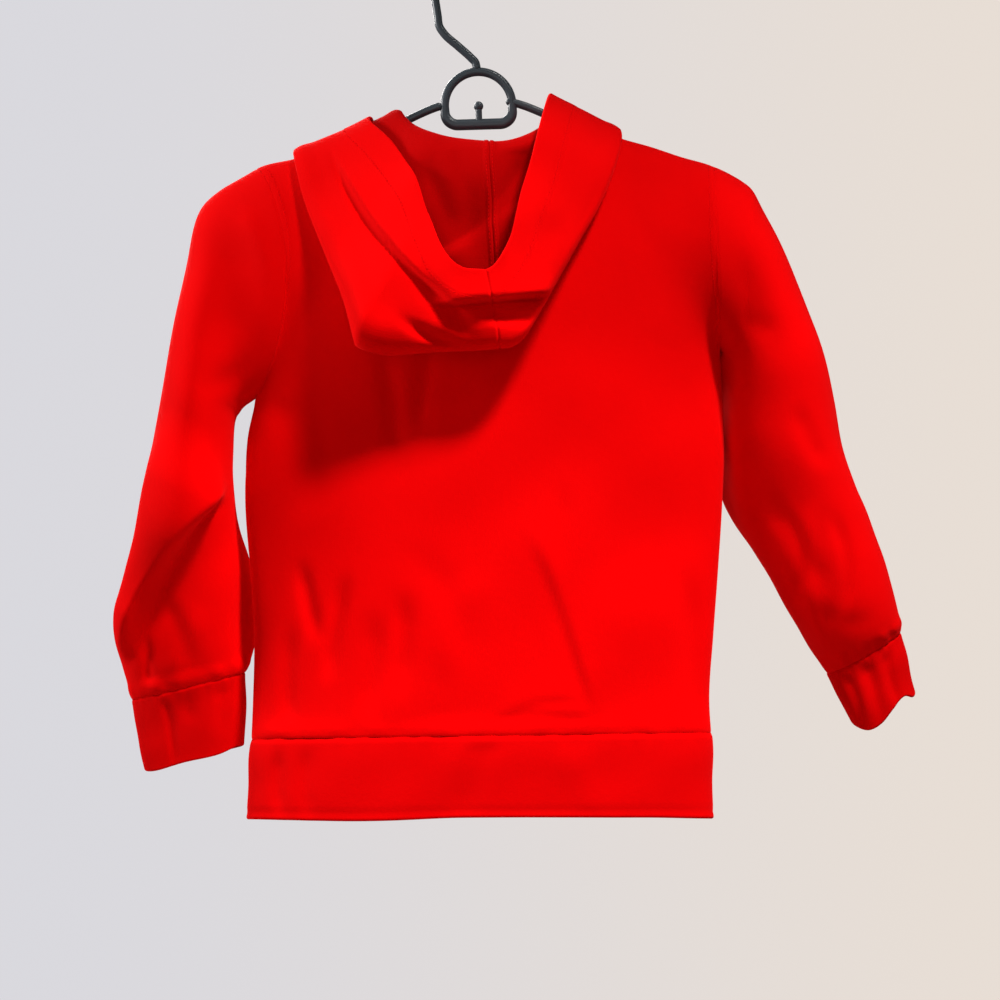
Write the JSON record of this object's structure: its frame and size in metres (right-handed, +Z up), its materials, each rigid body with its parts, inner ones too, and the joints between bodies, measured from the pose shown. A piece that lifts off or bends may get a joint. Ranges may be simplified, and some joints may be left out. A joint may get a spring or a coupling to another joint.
{
  "type": "kids hoodie on a clothes hanger",
  "caption": "Plain child's pullover hoodie hung on a plastic clothes hanger, hood hanging open down the back, with rib cuffs, hem band and kangaroo pocket.",
  "frame": {"origin": "where the inner top of the hanger's hook bears on the rail or peg that it hangs from", "axes": "+Z up, +X to the right for someone who looks at the back of the garment, which faces -Y; the front with its pocket faces +Y"},
  "size_m": [0.6322, 0.134, 0.6859],
  "materials": {
    "fleece": "matte brushed fleece jersey",
    "rib": "matte knitted rib",
    "plastic": "semi-gloss moulded"
  },
  "bodies": {
    "root": {"back": "fleece", "front": "fleece", "sleeve_left": "fleece", "sleeve_right": "fleece", "cuff_left": "rib", "cuff_right": "rib", "hem_band": "rib", "hood_left": "fleece", "hood_right": "fleece", "pocket": "fleece", "hanger": "plastic"}
  },
  "joints": []
}
